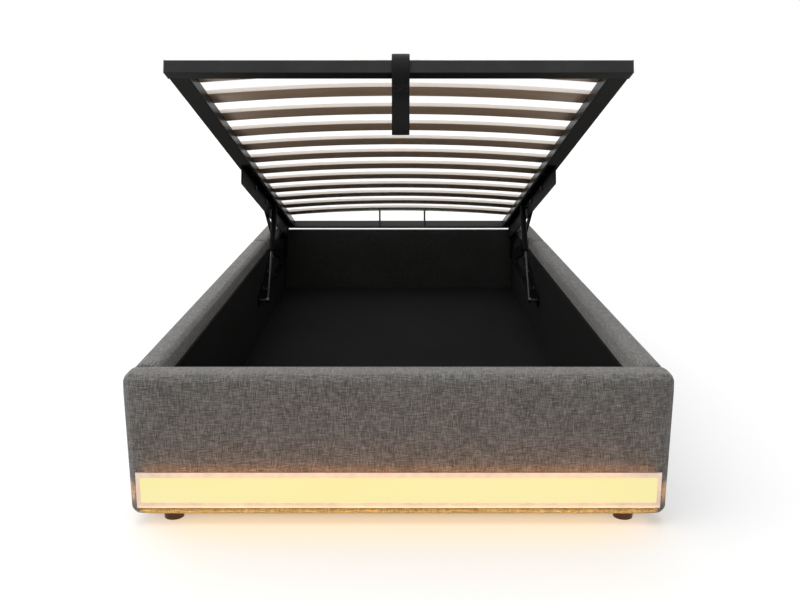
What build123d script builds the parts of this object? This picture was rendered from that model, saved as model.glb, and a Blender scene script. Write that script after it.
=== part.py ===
from build123d import *
import math
import os

# Storage bed base for a 900 x 2000 mattress, lift frame shown open. Millimetres.
# X points right, Y from the foot end to the head end, Z up from the floor.
# The origin is on the floor, under the middle of the box.

# Mattress that the base is made for, and the lift frame's room inside the box
mattress_width = 900.0
mattress_length = 2000.0
frame_width_play = 5.0              # the frame is this much narrower than the mattress
frame_length_play = 3.0
frame_side_gap = 4.5                # closed frame to the padded rail, each side
frame_front_gap = 20.5              # closed frame to the footboard
opening_shift = 37.5                # the frame moves back by this much when it opens
rear_margin = 9.0                   # open frame to the outer face of the head panel
rear_tip_clearance = 4.0            # open frame above the head panel

# Box
foot_height = 23.0
panel_height = 272.0
rear_panel_lowering = 45.0          # the head panel is lower, so that the frame can tip over it

# Layers of the panels
pad_thickness = 12.0                # padding and fabric on the outside
inner_pad_thickness = 8.0           # padding folded over to the inside
inner_fold_depth = 37.0
footboard_board_thickness = 46.0
rail_board_thickness = 28.0
rear_board_thickness = 25.0
liner_thickness = 14.0
footboard_liner_thickness = 8.0
liner_gap = 1.0                     # between a liner's top and the folded padding
front_edge_radius = 9.0             # round the footboard's front face
corner_radius = 12.0
rail_edge_radius = 16.0
head_edge_radius = 7.0
section_gap = 0.6                   # between two upholstered pieces that meet

# Side rails come in two lengths
rail_rear_length = 555.0            # the short length at the head end

# Light panel in the footboard
light_side_margin = 10.0
light_bottom_margin = 14.0
light_height = 70.0
light_depth = 26.0
light_bezel_border = 10.0
light_bezel_side_border = 7.0
light_wall = 2.0
diffuser_thickness = 2.0
diffuser_setback = 2.0
strip_width = 10.0
strip_thickness = 1.0
chip_size = 5.0
chip_height = 1.6
chip_count = 58
fit_clearance = 0.3

# Floor of the storage space
floor_thickness = 4.0
bearer_height = 16.0
bearer_width = 40.0
bearer_count = 4
bearer_end_margin = 120.0
floor_clearance = 2.0

# Feet
foot_diameter = 40.0
foot_taper = 1.5
foot_side_inset = 68.0
foot_front_inset = 45.0
foot_rear_inset = 25.0
foot_screw_diameter = 8.0
foot_screw_depth = 20.0

# Corner brackets and bolts
bracket_leg = 46.0
bracket_thickness = 3.0
bracket_height = 150.0
bracket_bolt_spacing = 100.0
joint_plate_length = 180.0
bolt_diameter = 8.0
bolt_head_diameter = 14.0
bolt_head_height = 4.0
bolt_depth = 16.0
bolt_clearance = 0.2

# Lift frame
tube_width = 40.0
tube_height = 25.0
tube_wall = 1.5
tube_radius = 2.5
lift_angle = 16.87

# Slats
slat_count = 12
slat_width = 70.0
slat_thickness = 10.0
slat_first = 89.0                   # from the frame's front end
slat_last = 150.0                   # from the frame's rear end
slat_rise = 19.0
slat_end_margin = 9.0
slat_lift = 1.5                     # holder floor under the slat
holder_length = 26.0
holder_margin = 3.0
holder_height = 14.5

# Retainer hoop at the head end
hoop_rod = 7.0
hoop_height = 77.0
hoop_left = -74.0
hoop_right = 102.0
hoop_bend = 12.0
hoop_overhang = 3.0

# Pull strap
strap_width = 36.0
strap_thickness = 2.0
strap_centre = 4.0
strap_play = 0.35
strap_reach = 125.0
strap_hand_loop = 78.0
strap_hand_radius = 11.0

# Lift mechanism. The fixed pivots lie before the open frame's rear end and below the rails' top.
front_pivot_reach = 404.0
front_pivot_drop = 50.0
rear_pivot_reach = 80.0
rear_pivot_drop = 136.0
gas_pivot_reach = 806.0
gas_pivot_drop = 154.0
upper_pivot_drop = 18.0             # below the frame's underside
front_upper_reach = 706.5           # along the frame from its rear end
rear_upper_reach = 86.0
gas_upper_reach = 587.0
plate_thickness = 4.0
link_thickness = 5.0
layer_gap = 1.0
leg_gap = 1.5
plate_end_radius = 19.0
rear_plate_end_radius = 16.0
slot_end_radius = 9.0
front_link_width = 26.0
rear_link_width = 22.0
upper_plate_reach = 1173.0
upper_plate_start = 60.0
upper_plate_depth = 52.0
upper_plate_flange = 24.0
upper_plate_base = 3.0
upper_plate_nose = 5.0
pivot_diameter = 10.0
pivot_gap = 0.3
gas_cylinder_diameter = 18.0
gas_rod_diameter = 8.0
gas_eye_diameter = 15.0
gas_eye_width = 10.0
gas_cylinder_length = 165.0
gas_bore_clearance = 0.5
gas_wall = 1.5
gas_guide_length = 4.0
gas_piston_length = 5.0
gas_side_clearance = 0.5            # spring clear of the bolt heads on the upper plate
gas_pin_diameter = 7.0

cut_overrun = 1.0

os.makedirs("parts", exist_ok=True)

# Places worked out from the sizes above
frame_width = mattress_width - frame_width_play
frame_length = mattress_length - frame_length_play
rail_inner_board = frame_width / 2 + frame_side_gap + inner_pad_thickness
half_width = rail_inner_board + rail_board_thickness + pad_thickness
footboard_thickness = pad_thickness + footboard_board_thickness + inner_pad_thickness
frame_rear = footboard_thickness + frame_front_gap + frame_length + opening_shift
box_length = frame_rear + rear_margin
front = -box_length / 2
rear = box_length / 2
top = foot_height + panel_height
rear_top = top - rear_panel_lowering
footboard_back = front + footboard_thickness
foot_wall = footboard_back - inner_pad_thickness
head_wall = rear - pad_thickness - rear_board_thickness
foot_x = half_width - foot_side_inset
foot_front_y = front + foot_front_inset
foot_rear_y = rear - foot_rear_inset
liner_face = rail_inner_board - liner_thickness
liner_top = top - inner_fold_depth - liner_gap
floor_top = bearer_height + floor_thickness
fixed_plate_face = liner_face - plate_thickness
link_outer = fixed_plate_face - layer_gap
link_inner = link_outer - link_thickness
leg_outer = link_inner - leg_gap
leg_inner = leg_outer - plate_thickness
gas_centre = leg_inner - bolt_head_height - gas_side_clearance - gas_cylinder_diameter / 2
frame_origin_y = front + frame_rear
frame_rear_height = rear_top + rear_tip_clearance
split_y = rear - rail_rear_length
slat_pitch = (frame_length - slat_first - slat_last - slat_width) / (slat_count - 1)
front_pivot = (frame_origin_y - front_pivot_reach, top - front_pivot_drop)
rear_pivot = (frame_origin_y - rear_pivot_reach, top - rear_pivot_drop)
gas_pivot = (frame_origin_y - gas_pivot_reach, top - gas_pivot_drop)
tube_corner = math.hypot(tube_width / 2 - tube_radius, tube_height / 2 - tube_radius) + tube_radius
strap_loop_radius = tube_corner + strap_play


def block(x0, x1, y0, y1, z0, z1):
    """A box between three pairs of planes."""
    middle = ((x0 + x1) / 2, (y0 + y1) / 2, (z0 + z1) / 2)
    return Pos(*middle) * Box(abs(x1 - x0), abs(y1 - y0), abs(z1 - z0))


def rod_x(x0, x1, y, z, diameter):
    """A round bar along X."""
    return Pos((x0 + x1) / 2, y, z) * Rot(0, 90, 0) * Cylinder(diameter / 2, abs(x1 - x0))


def rod_y(x, y0, y1, z, diameter):
    """A round bar along Y."""
    return Pos(x, (y0 + y1) / 2, z) * Rot(90, 0, 0) * Cylinder(diameter / 2, abs(y1 - y0))


def plate_x(outline, x0, x1):
    """A flat plate from x0 to x1, its outline given as (y, z) faces."""
    return Pos(min(x0, x1), 0, 0) * extrude(outline, abs(x1 - x0), dir=(1, 0, 0))


def on_side(y, z):
    """A working plane that looks along X, at a place on the side of the bed."""
    return Plane(origin=(0, y, z), x_dir=(0, 1, 0), z_dir=(1, 0, 0))


def disc(y, z, radius):
    return on_side(y, z) * Circle(radius)


def hull_of(discs):
    """The face that a band around some discs encloses. Each disc is (y, z, radius)."""
    edges = [edge for y, z, radius in discs for edge in disc(y, z, radius).edges()]
    flat = [Plane.YZ.to_local_coords(edge) for edge in edges]
    return Plane.YZ.from_local_coords(make_hull(flat))


def in_frame(shape):
    """Moves a shape from the frame's own axes to the open pose."""
    return Pos(0, frame_origin_y, frame_rear_height) * Rot(-lift_angle, 0, 0) * shape


def frame_point(reach, drop):
    """A point below the open frame, reach from its rear end, as (y, z)."""
    angle = math.radians(lift_angle)
    y = frame_origin_y - reach * math.cos(angle) - drop * math.sin(angle)
    z = frame_rear_height + reach * math.sin(angle) - drop * math.cos(angle)
    return y, z


def mirrored(shape):
    return mirror(shape, about=Plane.YZ)


def save(name, shapes):
    """Writes one node. A list of shapes becomes a group of separate solids."""
    if isinstance(shapes, (list, tuple)):
        solids = [solid for shape in shapes for solid in shape.solids()]
        shape = Compound(children=solids)
    else:
        solids = shapes.solids()
        shape = solids[0] if len(solids) == 1 else Compound(children=solids)
    export_step(shape, f"parts/{name}.step")


def save_pair(name, shapes):
    """Writes a right-hand node and its mirrored left-hand one."""
    group = shapes if isinstance(shapes, (list, tuple)) else [shapes]
    save(f"right_{name}", group)
    save(f"left_{name}", [mirrored(shape) for shape in group])


# Bolts
def bolt(origin, outward, depth):
    """A bolt whose head stands on a face, and the bore that its hole and head need."""
    place = Plane(origin=origin, z_dir=outward).location
    head = Pos(0, 0, bolt_head_height / 2) * Cylinder(bolt_head_diameter / 2, bolt_head_height)
    shank = Pos(0, 0, -depth / 2) * Cylinder(bolt_diameter / 2, depth)
    head_room = bolt_head_height + bolt_clearance
    bore = Pos(0, 0, head_room / 2) * Cylinder(bolt_head_diameter / 2 + bolt_clearance, head_room)
    bore += Pos(0, 0, -depth / 2) * Cylinder(bolt_diameter / 2 + bolt_clearance,
                                             depth + 2 * bolt_clearance)
    return place * (head + shank), place * bore


def bracket_heights():
    """Low and high bolt rows, about the middle of the head panel's height."""
    middle = foot_height + (panel_height - rear_panel_lowering) / 2
    return middle - bracket_bolt_spacing / 2, middle + bracket_bolt_spacing / 2


def panel_bolts():
    """The right-hand bolts through the corner angles and the joint plate."""
    face = rail_inner_board - bracket_thickness
    leg_middle = bracket_leg / 2
    long_leg_middle = footboard_back + section_gap + (bracket_leg - inner_pad_thickness) / 2
    bolts = []
    for z in bracket_heights():
        bolts.append(bolt((face, long_leg_middle, z), (-1, 0, 0), bolt_depth))
        bolts.append(bolt((face, head_wall - leg_middle, z), (-1, 0, 0), bolt_depth))
        for y, outward in ((foot_wall + bracket_thickness, 1), (head_wall - bracket_thickness, -1)):
            bolts.append(bolt((rail_inner_board - leg_middle, y, z), (0, outward, 0), bolt_depth))
        for side in (-1, 1):
            bolts.append(bolt((face, split_y + side * joint_plate_length / 4, z), (-1, 0, 0), bolt_depth))
    return bolts


def plate_bolt_places():
    """Where bolts hold the fixed plate: along its upper and its lower edge, as (y, z)."""
    bolt_shares = (0.2, 0.5, 0.8)
    places = []
    for end in (front_pivot, rear_pivot):
        for share in bolt_shares:
            places.append(tuple(gas_pivot[axis] + share * (end[axis] - gas_pivot[axis])
                                for axis in (0, 1)))
    return places


def plate_bolts():
    depth = plate_thickness + liner_thickness + bolt_depth
    return [bolt((fixed_plate_face, y, z), (-1, 0, 0), depth) for y, z in plate_bolt_places()]


# Footboard
def light_box(border, depth0, depth1):
    """The space of the light panel, drawn in by a border all round."""
    side = half_width - light_side_margin - border * light_bezel_side_border / light_bezel_border
    low = foot_height + light_bottom_margin + border
    high = foot_height + light_bottom_margin + light_height - border
    return block(-side, side, front + depth0, front + depth1, low, high)


def make_footboard(bores):
    board_front = front + pad_thickness
    side = half_width - pad_thickness
    board = block(-side, side, board_front, foot_wall, foot_height, top - pad_thickness)
    board -= light_box(-fit_clearance, -cut_overrun, light_depth + fit_clearance)
    save("footboard_board", board - bores - foot_bores(foot_front_y))

    cover = block(-half_width, half_width, front, footboard_back, foot_height, top)
    cover = fillet(cover.edges().filter_by(Axis.Y), corner_radius)
    cover = fillet(cover.faces().sort_by(Axis.Y)[0].edges(), front_edge_radius)
    cover = fillet(cover.edges().filter_by(Axis.X).group_by(Axis.Z)[-1].sort_by(Axis.Y)[-1], corner_radius)
    cover -= block(-side, side, board_front, foot_wall, foot_height - cut_overrun, top - pad_thickness)
    cover -= block(-rail_inner_board, rail_inner_board,
                   foot_wall - cut_overrun, footboard_back + cut_overrun,
                   foot_height - cut_overrun, liner_top + liner_gap)
    cover -= light_box(-fit_clearance, -cut_overrun, light_depth)
    save("footboard_cover", cover - bores)


def make_light():
    bezel = light_box(0, 0, light_depth)
    bezel -= light_box(light_bezel_border, -cut_overrun, light_depth - light_wall)
    bezel -= light_box(light_bezel_border - light_wall - fit_clearance, diffuser_setback,
                       light_depth - light_wall)
    diffuser = light_box(light_bezel_border - light_wall, diffuser_setback,
                         diffuser_setback + diffuser_thickness)
    save("light_bezel", bezel)
    save("light_diffuser", diffuser)

    strip_back = front + light_depth - light_wall
    chip_back = strip_back - strip_thickness
    middle = foot_height + light_bottom_margin + light_height / 2
    length = 2 * (half_width - light_side_margin - light_bezel_border)
    strip = block(-length / 2, length / 2, chip_back, strip_back,
                  middle - strip_width / 2, middle + strip_width / 2)
    pitch = length / chip_count
    chips = []
    for number in range(chip_count):
        x = (number + 0.5) * pitch - length / 2
        chips.append(block(x - chip_size / 2, x + chip_size / 2, chip_back - chip_height, chip_back,
                           middle - chip_size / 2, middle + chip_size / 2))
    save("light_strip", [strip] + chips)


# Side rails
def rail_section(y0, y1, bores):
    """Board and padded cover of one length of the right-hand rail."""
    board_outer = half_width - pad_thickness
    board = block(rail_inner_board, board_outer, y0, y1, foot_height, top - pad_thickness)
    inner = rail_inner_board - inner_pad_thickness
    cover = block(inner, half_width, y0, y1, foot_height, top)
    cover = fillet(cover.edges().filter_by(Axis.Y).group_by(Axis.Z)[-1], rail_edge_radius)
    cover -= block(rail_inner_board, board_outer, y0 - cut_overrun, y1 + cut_overrun,
                   foot_height - cut_overrun, top - pad_thickness)
    cover -= block(inner - cut_overrun, rail_inner_board, y0 - cut_overrun, y1 + cut_overrun,
                   foot_height - cut_overrun, liner_top + liner_gap)
    return board - bores, cover


def make_rails(bores):
    for name, y0, y1 in (("front", footboard_back + section_gap, split_y - section_gap / 2),
                         ("rear", split_y + section_gap / 2, rear)):
        board, cover = rail_section(y0, y1, bores)
        save_pair(f"rail_board_{name}", board)
        save_pair(f"rail_cover_{name}", cover)


# Head panel
def make_head_panel(bores):
    side = rail_inner_board - section_gap
    board = block(-side, side, head_wall, rear - pad_thickness,
                  foot_height, rear_top - pad_thickness / 2)
    cover = block(-side, side, head_wall, rear, foot_height, rear_top)
    upper_edges = cover.edges().filter_by(Axis.X).group_by(Axis.Z)[-1]
    cover = fillet(upper_edges.sort_by(Axis.Y)[-1], head_edge_radius)
    save("head_panel_cover", cover - board)
    save("head_panel_board", board - bores - foot_bores(foot_rear_y))


# Brackets that hold the panels together, behind the liners
def corner_angle(wall, toward, grow):
    """An angle in a corner: one leg on the rail board, one on the end board."""
    low = foot_height + (panel_height - rear_panel_lowering - bracket_height) / 2 - grow
    high = low + bracket_height + 2 * grow
    inner = rail_inner_board - bracket_leg - grow
    leg_a = block(rail_inner_board - bracket_thickness - grow, rail_inner_board,
                  wall, wall + toward * (bracket_leg + grow), low, high)
    leg_b = block(inner, rail_inner_board, wall, wall + toward * (bracket_thickness + grow), low, high)
    return leg_a + leg_b


def joint_plate(grow):
    low, high = bracket_heights()
    return block(rail_inner_board - bracket_thickness - grow, rail_inner_board,
                 split_y - joint_plate_length / 2 - grow, split_y + joint_plate_length / 2 + grow,
                 low - bolt_head_diameter - grow, high + bolt_head_diameter + grow)


def brackets(grow):
    return [corner_angle(foot_wall, 1, grow), corner_angle(head_wall, -1, grow), joint_plate(grow)]


def make_brackets(bolts, bores):
    right = [bracket - bores for bracket in brackets(0)]
    save("corner_brackets", right + [mirrored(item) for item in right])
    save("frame_bolts", bolts + [mirrored(item) for item in bolts])


# Black liners and the floor of the storage space
def make_liners(bores):
    pockets = brackets(fit_clearance) + bores
    bottom = floor_top + fit_clearance
    side = block(liner_face, rail_inner_board,
                 foot_wall + footboard_liner_thickness, head_wall - liner_thickness, bottom, liner_top)
    save_pair("liner", side - pockets)
    end_side = rail_inner_board - fit_clearance
    both_sides = pockets + [mirrored(pocket) for pocket in pockets]
    foot_liner = block(-end_side, end_side, foot_wall, foot_wall + footboard_liner_thickness,
                       bottom, liner_top)
    head_liner = block(-end_side, end_side, head_wall - liner_thickness, head_wall, bottom, rear_top)
    save("footboard_liner", foot_liner - both_sides - foot_rooms(foot_front_y))
    save("head_liner", head_liner - both_sides - foot_rooms(foot_rear_y))


def make_floor():
    side = rail_inner_board - floor_clearance
    y0 = foot_wall
    y1 = head_wall
    middle = (y0 + y1) / 2
    front_panel = block(-side, side, y0, middle - fit_clearance, bearer_height, floor_top)
    rear_panel = block(-side, side, middle + fit_clearance, y1, bearer_height, floor_top)
    save("floor_panel_front", front_panel - foot_rooms(foot_front_y))
    save("floor_panel_rear", rear_panel - foot_rooms(foot_rear_y))
    first = y0 + bearer_end_margin
    step = (y1 - y0 - 2 * bearer_end_margin) / (bearer_count - 1)
    bearers = []
    for number in range(bearer_count):
        y = first + number * step
        bearers.append(block(-side, side, y - bearer_width / 2, y + bearer_width / 2, 0, bearer_height))
    save("floor_bearers", bearers)


# Feet
def foot(x, y):
    radius = foot_diameter / 2
    body = Pos(x, y, foot_height / 2) * Cone(radius - foot_taper, radius, foot_height)
    screw = Cylinder(foot_screw_diameter / 2, foot_screw_depth)
    return body + Pos(x, y, foot_height + foot_screw_depth / 2) * screw


def foot_bores(y):
    """Holes for the screws of the two feet under an end panel."""
    depth = foot_screw_depth + bolt_clearance
    bore = Pos(foot_x, y, foot_height + depth / 2) \
        * Cylinder(foot_screw_diameter / 2 + bolt_clearance, depth)
    return [bore, mirrored(bore)]


def foot_rooms(y):
    """Notches that let two feet pass the liner and the floor."""
    radius = foot_diameter / 2 + floor_clearance / 2
    room = Pos(foot_x, y, foot_height / 2) * Cylinder(radius, foot_height + fit_clearance)
    return [room, mirrored(room)]


def make_feet():
    save("feet", [foot(side * foot_x, y) for y in (foot_front_y, foot_rear_y) for side in (-1, 1)])


# Lift mechanism
def make_fixed_plates(bolts, bores):
    outline = hull_of([(*front_pivot, plate_end_radius), (*rear_pivot, rear_plate_end_radius),
                       (*gas_pivot, plate_end_radius)])
    plate = plate_x(outline, fixed_plate_face, liner_face)
    pivots = (gas_pivot, front_pivot, rear_pivot)
    centre = tuple(sum(pivot[axis] for pivot in pivots) / len(pivots) for axis in (0, 1))
    slot_points = []
    for pivot in pivots:
        slot_points.append(tuple(centre[axis] + (pivot[axis] - centre[axis]) / 2 for axis in (0, 1)))
    window = hull_of([(*point, slot_end_radius) for point in slot_points])
    plate -= plate_x(window, fixed_plate_face - cut_overrun, liner_face + cut_overrun)
    for pivot in pivots:
        plate -= rod_x(fixed_plate_face - cut_overrun, liner_face + cut_overrun, *pivot, pivot_diameter)
    save_pair("fixed_plate", plate - bores)

    pins = [rod_x(link_inner - pivot_gap, liner_face, *front_pivot, pivot_diameter),
            rod_x(link_inner - pivot_gap, liner_face, *rear_pivot, pivot_diameter),
            rod_x(fixed_plate_face, liner_face, *gas_pivot, pivot_diameter)
            + rod_x(gas_centre - gas_eye_width / 2 - pivot_gap, fixed_plate_face, *gas_pivot,
                    gas_pin_diameter)]
    group = pins + bolts
    save("plate_pins_and_bolts", group + [mirrored(item) for item in group])


def link(lower, upper, width):
    """A flat link between two pivots, bored for its lower pin, with its upper stud."""
    outline = hull_of([(*lower, width / 2), (*upper, width / 2)])
    bar = plate_x(outline, link_inner, link_outer)
    bar -= rod_x(link_inner - cut_overrun, link_outer + cut_overrun, *lower, pivot_diameter + 2 * pivot_gap)
    return bar + rod_x(leg_outer + pivot_gap, link_inner, *upper, pivot_diameter)


def make_links():
    save_pair("front_link", link(front_pivot, frame_point(front_upper_reach, upper_pivot_drop),
                                 front_link_width))
    save_pair("rear_link", link(rear_pivot, frame_point(rear_upper_reach, upper_pivot_drop),
                                rear_link_width))


def make_gas_springs():
    """Each spring is drawn lying along Y from its lower pivot, then turned up to its slope."""
    upper = frame_point(gas_upper_reach, upper_pivot_drop)
    length = math.dist(gas_pivot, upper)
    slope = math.degrees(math.atan2(upper[1] - gas_pivot[1], upper[0] - gas_pivot[0]))
    tube_start = length - gas_eye_diameter / 2 - gas_cylinder_length
    bore_start = tube_start + gas_guide_length
    bore_end = length - gas_eye_diameter
    piston_start = bore_start + gas_bore_clearance
    piston_end = piston_start + gas_piston_length
    bore_diameter = gas_cylinder_diameter - 2 * gas_wall

    rod = rod_x(-gas_eye_width / 2, gas_eye_width / 2, 0, 0, gas_eye_diameter)
    rod += rod_y(0, 0, piston_end, 0, gas_rod_diameter)
    rod += rod_y(0, piston_start, piston_end, 0, bore_diameter - 2 * gas_bore_clearance)
    rod -= rod_x(-gas_eye_width, gas_eye_width, 0, 0, gas_pin_diameter + 2 * pivot_gap)

    tube = rod_y(0, tube_start, length - gas_eye_diameter / 4, 0, gas_cylinder_diameter)
    tube -= rod_y(0, bore_start, bore_end, 0, bore_diameter)
    tube -= rod_y(0, tube_start - cut_overrun, bore_start + cut_overrun, 0,
                  gas_rod_diameter + 2 * gas_bore_clearance)
    tube += rod_x(-gas_eye_width / 2, gas_eye_width / 2, length, 0, gas_eye_diameter)
    tube += rod_x(0, leg_inner - gas_centre - pivot_gap, length, 0, gas_pin_diameter)
    place = Pos(gas_centre, *gas_pivot) * Rot(slope, 0, 0)
    save_pair("gas_rod", place * rod)
    save_pair("gas_cylinder", place * tube)


def make_upper_plates():
    """An angle under each side tube: base against the tube, leg hanging down."""
    leg_far = upper_plate_reach - upper_plate_nose
    leg_near = upper_plate_start + upper_plate_nose
    leg_low = upper_plate_nose - upper_plate_depth
    points = [(-upper_plate_start, 0), (-upper_plate_start, leg_low), (-leg_near, -upper_plate_depth),
              (-leg_far, -upper_plate_depth), (-upper_plate_reach, leg_low), (-upper_plate_reach, 0)]
    wire = Polyline(*[Vector(0, y, z) for y, z in points], close=True)
    leg = plate_x(make_face(wire), leg_inner, leg_outer)
    base = block(leg_outer - upper_plate_flange, leg_outer, -upper_plate_reach, -upper_plate_start,
                 -upper_plate_base, 0)
    save_pair("upper_plate", in_frame(leg + base))

    bolts = []
    spare_reach = (front_upper_reach + upper_plate_reach) / 2
    stud_room = rod_x(leg_inner - bolt_head_height, leg_inner, -gas_upper_reach, -upper_pivot_drop,
                      gas_pin_diameter + 2 * pivot_gap)
    for reach in (front_upper_reach, rear_upper_reach, spare_reach):
        head = rod_x(leg_inner - bolt_head_height, leg_inner, -reach, -upper_pivot_drop,
                     bolt_head_diameter)
        bolts.append(head - stud_room)
    base_middle = leg_outer - upper_plate_flange / 2 - plate_thickness / 2
    head_depth = bolt_head_height / 2
    bolt_shares = (0.1, 0.35, 0.65, 0.9)
    for share in bolt_shares:
        y = -(upper_plate_start + share * (upper_plate_reach - upper_plate_start))
        bolts.append(Pos(base_middle, y, -upper_plate_base - head_depth / 2)
                     * Cylinder(bolt_diameter / 2, head_depth))
    bolts = [in_frame(item) for item in bolts]
    save("upper_plate_bolts", bolts + [mirrored(item) for item in bolts])


# Lift frame
def tube_y(x_middle, y0, y1):
    outer = block(x_middle - tube_width / 2, x_middle + tube_width / 2, y0, y1, 0, tube_height)
    outer = fillet(outer.edges().filter_by(Axis.Y), tube_radius)
    inner = block(x_middle - tube_width / 2 + tube_wall, x_middle + tube_width / 2 - tube_wall,
                  y0 - cut_overrun, y1 + cut_overrun, tube_wall, tube_height - tube_wall)
    return outer - inner


def tube_x(y0, y1):
    half = frame_width / 2
    outer = block(-half, half, y0, y1, 0, tube_height)
    outer = fillet(outer.edges().filter_by(Axis.X), tube_radius)
    inner = block(-half - cut_overrun, half + cut_overrun, y0 + tube_wall, y1 - tube_wall,
                  tube_wall, tube_height - tube_wall)
    return outer - inner


def make_frame_tubes():
    side = frame_width / 2 - tube_width / 2
    save("right_side_tube", in_frame(tube_y(side, -frame_length + tube_width, -tube_width)))
    save("left_side_tube", in_frame(tube_y(-side, -frame_length + tube_width, -tube_width)))
    save("front_tube", in_frame(tube_x(-frame_length, -frame_length + tube_width)))
    save("rear_tube", in_frame(tube_x(-tube_width, 0)))
    plugs = []
    for y0, y1 in ((-frame_length, -frame_length + tube_width), (-tube_width, 0)):
        for side_sign in (-1, 1):
            end = side_sign * frame_width / 2
            plug = block(end, end - side_sign * tube_width / 2, y0 + tube_wall + fit_clearance,
                         y1 - tube_wall - fit_clearance, tube_wall + fit_clearance,
                         tube_height - tube_wall - fit_clearance)
            cap = block(end, end + side_sign * tube_wall, y0, y1, 0, tube_height)
            plugs.append(in_frame(plug + cap))
    save("tube_end_caps", plugs)


def slat_strip(y0, y1, grow):
    """A bowed strip across the frame; grow widens it on every side for the holders' pockets."""
    half = frame_width / 2 - slat_end_margin + grow
    base = tube_height + slat_lift - grow
    thickness = slat_thickness + 2 * grow
    lower = ThreePointArc((-half, 0, base), (0, 0, base + slat_rise), (half, 0, base))
    upper = ThreePointArc((half, 0, base + thickness), (0, 0, base + slat_rise + thickness),
                          (-half, 0, base + thickness))
    sides = Line((half, 0, base), (half, 0, base + thickness)) \
        + Line((-half, 0, base + thickness), (-half, 0, base))
    face = make_face(Wire((lower.edges() + upper.edges() + sides.edges())))
    return Pos(0, y0, 0) * extrude(face, y1 - y0, dir=(0, 1, 0))


def make_slats():
    holders = []
    for number in range(slat_count):
        y0 = -frame_length + slat_first + number * slat_pitch
        y1 = y0 + slat_width
        slat = slat_strip(y0, y1, 0)
        slat = fillet(slat.edges().filter_by(Axis.Z), holder_margin)
        save(f"slat_{number + 1:02d}", in_frame(slat))
        pocket = slat_strip(y0 - fit_clearance, y1 + fit_clearance, fit_clearance)
        outer_x = frame_width / 2 - holder_margin
        holder = block(outer_x - holder_length, outer_x, y0 - holder_margin, y1 + holder_margin,
                       tube_height, tube_height + holder_height)
        holder = fillet(holder.edges().filter_by(Axis.Z), holder_margin)
        holder -= pocket
        holders.append(in_frame(holder))
        holders.append(in_frame(mirrored(holder)))
    save("slat_holders", holders)


def make_hoop():
    """A bent rod whose legs stand on the inner face of the rear tube."""
    y = -tube_width - hoop_rod / 2
    low = -hoop_overhang
    high = hoop_height
    path = FilletPolyline((hoop_left, y, low), (hoop_left, y, high), (hoop_right, y, high),
                          (hoop_right, y, low), radius=hoop_bend)
    profile = Plane(origin=(hoop_left, y, low), z_dir=(0, 0, 1)) * Circle(hoop_rod / 2)
    save("retainer_hoop", in_frame(sweep(profile, path=path)))


def make_strap():
    """Webbing round the front tube, sewn together below it, with a loop for the hand."""
    angle = math.radians(lift_angle)
    y = frame_origin_y - (frame_length - tube_width / 2) * math.cos(angle) \
        + tube_height / 2 * math.sin(angle)
    z = frame_rear_height + (frame_length - tube_width / 2) * math.sin(angle) \
        + tube_height / 2 * math.cos(angle)
    outer = strap_loop_radius + strap_thickness
    hand_outer = strap_hand_radius + strap_thickness
    hand_low = z - strap_reach + hand_outer
    hand_high = z - strap_reach + strap_hand_loop - hand_outer
    ring = disc(y, z, outer) - disc(y, z, strap_loop_radius)
    hand = hull_of([(y, hand_low, hand_outer), (y, hand_high, hand_outer)]) \
        - hull_of([(y, hand_low, strap_hand_radius), (y, hand_high, strap_hand_radius)])
    sewn_low = hand_high + strap_hand_radius + strap_thickness / 2
    sewn_high = z - strap_loop_radius - strap_thickness / 2
    x0 = strap_centre - strap_width / 2
    x1 = strap_centre + strap_width / 2
    strap = plate_x(ring, x0, x1) + plate_x(hand, x0, x1)
    strap += block(x0, x1, y - strap_thickness, y + strap_thickness, sewn_low, sewn_high)
    save("pull_strap", strap)


panel_bolt_pairs = panel_bolts()
plate_bolt_pairs = plate_bolts()
panel_bores = [bore for solid, bore in panel_bolt_pairs]
plate_bores = [bore for solid, bore in plate_bolt_pairs]
side_bores = panel_bores + plate_bores
all_bores = side_bores + [mirrored(bore) for bore in side_bores]

make_footboard(all_bores)
make_light()
make_rails(side_bores)
make_head_panel(all_bores)
make_brackets([solid for solid, bore in panel_bolt_pairs], side_bores)
make_liners(side_bores)
make_floor()
make_feet()
make_fixed_plates([solid for solid, bore in plate_bolt_pairs], plate_bores)
make_links()
make_gas_springs()
make_upper_plates()
make_frame_tubes()
make_slats()
make_hoop()
make_strap()
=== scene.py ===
import math
import bmesh
import bpy
from mathutils import Matrix, Vector


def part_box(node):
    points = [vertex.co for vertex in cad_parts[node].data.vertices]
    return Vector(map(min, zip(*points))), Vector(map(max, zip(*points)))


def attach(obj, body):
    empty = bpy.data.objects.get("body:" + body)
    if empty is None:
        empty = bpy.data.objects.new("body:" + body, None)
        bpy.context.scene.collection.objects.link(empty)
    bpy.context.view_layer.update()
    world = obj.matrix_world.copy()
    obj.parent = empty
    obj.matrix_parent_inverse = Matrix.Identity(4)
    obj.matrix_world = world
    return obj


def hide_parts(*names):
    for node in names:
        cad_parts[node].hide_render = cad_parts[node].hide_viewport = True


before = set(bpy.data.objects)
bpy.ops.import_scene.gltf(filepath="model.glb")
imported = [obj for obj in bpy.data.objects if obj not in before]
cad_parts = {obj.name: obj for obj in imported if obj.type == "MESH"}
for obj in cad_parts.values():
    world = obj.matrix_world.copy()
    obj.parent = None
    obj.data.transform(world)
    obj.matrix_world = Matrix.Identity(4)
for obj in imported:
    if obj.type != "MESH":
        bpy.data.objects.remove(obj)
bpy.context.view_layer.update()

scene = bpy.context.scene
scene.view_settings.view_transform = "Standard"
print("frame loaded:", len(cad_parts), "nodes")

mm = 0.001
slatNodes = [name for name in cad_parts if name.startswith("slat_") and name != "slat_holders"]


# small helpers shared by every piece

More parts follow.
